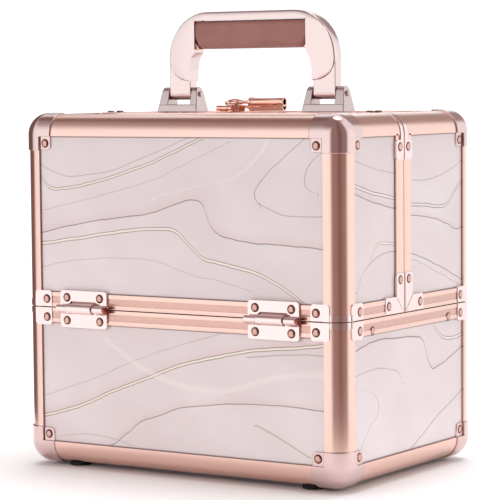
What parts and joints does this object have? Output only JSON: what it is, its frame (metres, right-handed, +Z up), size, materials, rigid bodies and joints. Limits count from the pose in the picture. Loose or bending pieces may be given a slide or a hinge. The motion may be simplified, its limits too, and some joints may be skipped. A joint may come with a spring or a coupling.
{
  "type": "makeup train case",
  "caption": "Upright cosmetics train case: framed stone-pattern panels, two lids opening outwards with level lift-out trays, a lock on top and a folding carry handle.",
  "frame": {"origin": "centre of the footprint, on the surface that the rubber feet stand on", "axes": "+X to the right along the long side seen from the front, +Y from the front face to the back, +Z up"},
  "size_m": [0.262, 0.196, 0.317],
  "materials": {
    "rose_aluminium": "satin rose-gold anodised, fine brushing along the length",
    "pink_chrome": "polished pale pink plating",
    "marble_panel": "satin laminate printed as pale pink marble with dark and gold veins",
    "dark_lining": "black velour",
    "tray_plastic": "black moulded plastic",
    "link_steel": "plated steel strip",
    "black_rubber": "matt, ribbed round the side",
    "copper_chrome": "polished copper-rose plating",
    "rose_leather": "soft matt rose-brown, fine grain"
  },
  "bodies": {
    "base": {"back_hinge_lower_leaf_left": "pink_chrome", "back_hinge_lower_leaf_right": "pink_chrome", "base_back_panel": "marble_panel", "base_corner_back_left": "pink_chrome", "base_corner_back_right": "pink_chrome", "base_corner_front_left": "pink_chrome", "base_corner_front_right": "pink_chrome", "base_frame": "rose_aluminium", "base_front_panel": "marble_panel", "base_left_panel": "marble_panel", "base_lining": "dark_lining", "base_right_panel": "marble_panel", "bottom_panel": "marble_panel", "front_hinge_lower_leaf_left": "pink_chrome", "front_hinge_lower_leaf_right": "pink_chrome", "rubber_foot_back_left": "black_rubber", "rubber_foot_back_right": "black_rubber", "rubber_foot_front_left": "black_rubber", "rubber_foot_front_right": "black_rubber"},
    "back_lid": {"back_hinge_upper_leaf_left": "pink_chrome", "back_hinge_upper_leaf_right": "pink_chrome", "back_lid_back_panel": "marble_panel", "back_lid_corner_left": "pink_chrome", "back_lid_corner_right": "pink_chrome", "back_lid_frame": "rose_aluminium", "back_lid_left_panel": "marble_panel", "back_lid_lining": "dark_lining", "back_lid_right_panel": "marble_panel", "back_lid_top_panel": "marble_panel", "handle_foot_left": "pink_chrome", "handle_foot_right": "pink_chrome", "handle_pin_left": "pink_chrome", "handle_pin_right": "pink_chrome", "lock_case": "copper_chrome"},
    "back_links": {"back_link_left": "link_steel", "back_link_right": "link_steel"},
    "back_lower_tray": {"back_lower_tray": "tray_plastic"},
    "back_upper_tray": {"back_upper_tray": "tray_plastic"},
    "front_lid": {"front_hinge_upper_leaf_left": "pink_chrome", "front_hinge_upper_leaf_right": "pink_chrome", "front_lid_corner_left": "pink_chrome", "front_lid_corner_right": "pink_chrome", "front_lid_frame": "rose_aluminium", "front_lid_front_panel": "marble_panel", "front_lid_left_panel": "marble_panel", "front_lid_lining": "dark_lining", "front_lid_right_panel": "marble_panel", "front_lid_top_panel": "marble_panel", "hasp_hinge_plate": "copper_chrome"},
    "front_links": {"front_link_left": "link_steel", "front_link_right": "link_steel"},
    "front_lower_tray": {"front_lower_tray": "tray_plastic"},
    "front_upper_tray": {"front_upper_tray": "tray_plastic"},
    "handle": {"handle_arch": "pink_chrome", "handle_grip": "rose_leather"},
    "hasp": {"hasp": "copper_chrome"},
    "keys": {"key_1": "copper_chrome", "key_2": "copper_chrome"},
    "lock_cylinder": {"lock_cylinder": "copper_chrome"}
  },
  "joints": [
    {"name": "front_lid_hinge", "type": "hinge", "parent": "base", "child": "front_lid", "pos_m": [0, -0.0943, 0.11225], "axis": [1, 0, 0], "range_deg": [0, 80]},
    {"name": "back_lid_hinge", "type": "hinge", "parent": "base", "child": "back_lid", "pos_m": [0, 0.0943, 0.11225], "axis": [-1, 0, 0], "range_deg": [0, 80]},
    {"name": "front_lower_tray_pivot", "type": "hinge", "parent": "front_lid", "child": "front_lower_tray", "pos_m": [0, -0.0753, 0.12045], "axis": [1, 0, 0], "range_deg": [-80, 0]},
    {"name": "front_upper_tray_pivot", "type": "hinge", "parent": "front_lid", "child": "front_upper_tray", "pos_m": [0, -0.0593, 0.18045], "axis": [1, 0, 0], "range_deg": [-80, 0]},
    {"name": "front_links_pivot", "type": "hinge", "parent": "base", "child": "front_links", "pos_m": [0, -0.0523, 0.10395], "axis": [1, 0, 0], "range_deg": [0, 80]},
    {"name": "back_lower_tray_pivot", "type": "hinge", "parent": "back_lid", "child": "back_lower_tray", "pos_m": [0, 0.0753, 0.12045], "axis": [-1, 0, 0], "range_deg": [-80, 0]},
    {"name": "back_upper_tray_pivot", "type": "hinge", "parent": "back_lid", "child": "back_upper_tray", "pos_m": [0, 0.0523, 0.18045], "axis": [-1, 0, 0], "range_deg": [-80, 0]},
    {"name": "back_links_pivot", "type": "hinge", "parent": "base", "child": "back_links", "pos_m": [0, 0.0523, 0.10395], "axis": [-1, 0, 0], "range_deg": [0, 80]},
    {"name": "handle_fold", "type": "hinge", "parent": "back_lid", "child": "handle", "pos_m": [0, 0.008, 0.259], "axis": [-1, 0, 0], "range_deg": [0, 90]},
    {"name": "hasp_hinge", "type": "hinge", "parent": "front_lid", "child": "hasp", "pos_m": [-0.00975, -0.0145, 0.2492], "axis": [1, 0, 0], "range_deg": [0, 130]},
    {"name": "lock_turn", "type": "hinge", "parent": "back_lid", "child": "lock_cylinder", "pos_m": [-0.00975, -0.00175, 0.248], "axis": [0, 0, 1], "range_deg": [0, 90]},
    {"name": "keys_lift", "type": "slide", "parent": "back_lid", "child": "keys", "axis": [0, 0, 1], "range_m": [0, 0.03]}
  ],
  "couplings": [
    {"joint": "front_lower_tray_pivot", "follows": "front_lid_hinge", "ratio": -1},
    {"joint": "front_upper_tray_pivot", "follows": "front_lid_hinge", "ratio": -1},
    {"joint": "front_links_pivot", "follows": "front_lid_hinge", "ratio": 1},
    {"joint": "back_lower_tray_pivot", "follows": "back_lid_hinge", "ratio": -1},
    {"joint": "back_upper_tray_pivot", "follows": "back_lid_hinge", "ratio": -1},
    {"joint": "back_links_pivot", "follows": "back_lid_hinge", "ratio": 1}
  ]
}
